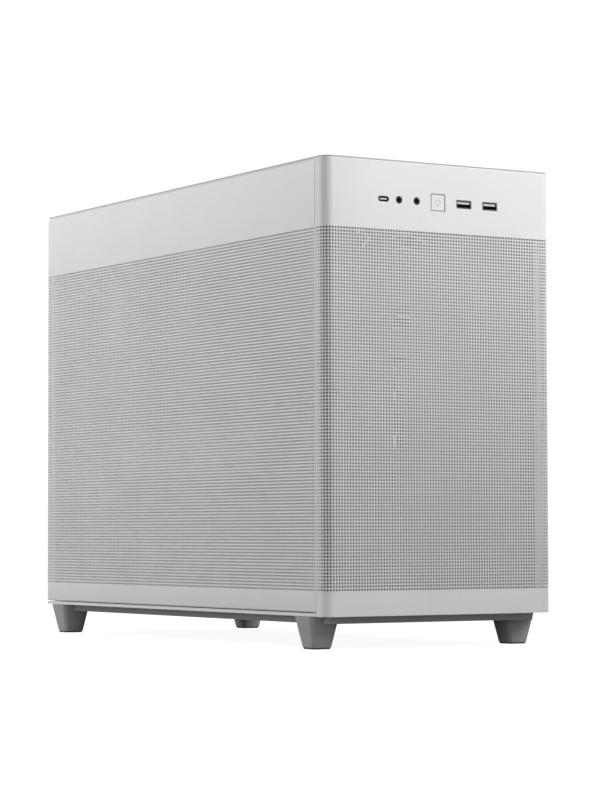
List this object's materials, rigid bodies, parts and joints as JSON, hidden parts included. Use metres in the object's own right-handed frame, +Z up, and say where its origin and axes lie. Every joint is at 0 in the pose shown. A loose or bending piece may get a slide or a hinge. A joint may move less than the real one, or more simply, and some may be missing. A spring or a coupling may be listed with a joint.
{
  "type": "desktop computer tower",
  "caption": "Compact white computer tower on tapered feet, with lift-off perforated covers, front sockets and a square button, and its board, cooler, cards, fans and supply inside.",
  "frame": {"origin": "on the floor, under the middle of the case", "axes": "+Z up, front faces -Y, access side with the board's parts faces -X"},
  "size_m": [0.205, 0.46, 0.363],
  "materials": {
    "white_steel": "fine satin powder coat",
    "white_perforated": "satin powder coat over perforated sheet",
    "grey_steel": "satin powder coat on the inner frame",
    "grey_plastic": "fine moulded texture",
    "white_plastic": "smooth moulded",
    "black_plastic": "fine moulded texture",
    "bare_steel": "plated sheet",
    "aluminium": "bead blasted",
    "circuit_board": "white solder mask",
    "sleeve": "woven white sleeve"
  },
  "bodies": {
    "chassis": {"base_pan": "white_steel", "base_skirt": "grey_plastic", "foot_front_left": "grey_plastic", "foot_front_right": "grey_plastic", "foot_rear_left": "grey_plastic", "foot_rear_right": "grey_plastic", "rear_panel": "white_steel", "motherboard_tray": "grey_steel", "front_plate": "grey_steel", "top_rail_left": "grey_steel", "top_rail_right": "grey_steel", "front_io_board": "circuit_board", "usb_a_port_1": "bare_steel", "usb_a_port_2": "bare_steel", "usb_c_port": "bare_steel", "audio_jack_1": "black_plastic", "audio_jack_2": "black_plastic", "inlet_plate": "white_steel", "rear_fan_frame": "white_plastic", "motherboard": "circuit_board", "cpu_socket": "bare_steel", "vrm_heatsink": "aluminium", "chipset_heatsink": "aluminium", "graphics_slot": "black_plastic", "memory_slots": "black_plastic", "memory_module_1": "aluminium", "memory_module_2": "aluminium", "rear_port_block": "bare_steel", "io_shield": "bare_steel", "cooler_base": "aluminium", "cooler_fins": "aluminium", "cooler_fan_frame": "white_plastic", "gpu_board": "circuit_board", "gpu_heatsink": "aluminium", "gpu_shroud": "white_plastic", "gpu_bracket": "bare_steel", "slot_cover_1": "white_steel", "slot_cover_2": "white_steel", "psu_housing": "grey_steel", "psu_fan_guard": "bare_steel", "psu_bracket": "grey_steel", "rear_power_inlet": "black_plastic", "mains_lead": "black_plastic", "board_power_lead": "sleeve", "sata_drive": "aluminium"},
    "front_panel": {"front_panel": "white_perforated"},
    "left_side_panel": {"left_side_panel": "white_perforated"},
    "right_side_panel": {"right_side_panel": "white_perforated"},
    "top_panel": {"top_panel": "white_perforated"},
    "bottom_filter": {"bottom_filter": "grey_plastic"},
    "power_button": {"power_button": "white_plastic"},
    "rear_fan_rotor": {"rear_fan_rotor": "white_plastic"},
    "cooler_fan_rotor": {"cooler_fan_rotor": "white_plastic"},
    "gpu_fan_1": {"gpu_fan_1": "white_plastic"},
    "gpu_fan_2": {"gpu_fan_2": "white_plastic"},
    "psu_fan_rotor": {"psu_fan_rotor": "black_plastic"},
    "psu_rocker": {"psu_rocker": "black_plastic"},
    "memory_latch_1": {"memory_latch_1": "white_plastic"},
    "memory_latch_2": {"memory_latch_2": "white_plastic"},
    "graphics_slot_latch": {"graphics_slot_latch": "white_plastic"}
  },
  "joints": [
    {"name": "front_panel_pull", "type": "slide", "parent": "chassis", "child": "front_panel", "axis": [0, -1, 0], "range_m": [0, 0.06]},
    {"name": "left_panel_pull", "type": "slide", "parent": "chassis", "child": "left_side_panel", "axis": [-1, 0, 0], "range_m": [0, 0.06]},
    {"name": "right_panel_pull", "type": "slide", "parent": "chassis", "child": "right_side_panel", "axis": [1, 0, 0], "range_m": [0, 0.06]},
    {"name": "top_panel_lift", "type": "slide", "parent": "chassis", "child": "top_panel", "axis": [0, 0, 1], "range_m": [0, 0.06]},
    {"name": "filter_slide", "type": "slide", "parent": "chassis", "child": "bottom_filter", "axis": [0, 1, 0], "range_m": [0, 0.25]},
    {"name": "power_button_press", "type": "slide", "parent": "chassis", "child": "power_button", "axis": [0, 1, 0], "range_m": [0, 0.0012], "stiffness_N_per_m": 900, "springref_m": -0.0005},
    {"name": "rear_fan_spin", "type": "hinge", "parent": "chassis", "child": "rear_fan_rotor", "pos_m": [-0.0365, 0.21, 0.287], "axis": [0, 1, 0], "continuous": true},
    {"name": "cooler_fan_spin", "type": "hinge", "parent": "chassis", "child": "cooler_fan_rotor", "pos_m": [-0.04, 0.097, 0.266], "axis": [0, 1, 0], "continuous": true},
    {"name": "gpu_fan_1_spin", "type": "hinge", "parent": "chassis", "child": "gpu_fan_1", "pos_m": [0.0041, 0.026, 0.139], "axis": [0, 0, 1], "continuous": true},
    {"name": "gpu_fan_2_spin", "type": "hinge", "parent": "chassis", "child": "gpu_fan_2", "pos_m": [0.0041, 0.129, 0.139], "axis": [0, 0, 1], "continuous": true},
    {"name": "psu_fan_spin", "type": "hinge", "parent": "chassis", "child": "psu_fan_rotor", "pos_m": [-0.017, -0.1888, 0.274], "axis": [0, 1, 0], "continuous": true},
    {"name": "psu_rocker_tilt", "type": "hinge", "parent": "chassis", "child": "psu_rocker", "pos_m": [-0.034, -0.15, 0.203], "axis": [1, 0, 0], "range_deg": [-14, 0]},
    {"name": "memory_latch_1_tilt", "type": "hinge", "parent": "chassis", "child": "memory_latch_1", "pos_m": [0.0663, 0.063, 0.3388], "axis": [0, 1, 0], "range_deg": [0, 30]},
    {"name": "memory_latch_2_tilt", "type": "hinge", "parent": "chassis", "child": "memory_latch_2", "pos_m": [0.0663, 0.053, 0.3388], "axis": [0, 1, 0], "range_deg": [0, 30]},
    {"name": "graphics_latch_tilt", "type": "hinge", "parent": "chassis", "child": "graphics_slot_latch", "pos_m": [0.0656, 0.0582, 0.173], "axis": [0, 0, 1], "range_deg": [0, 25]}
  ]
}
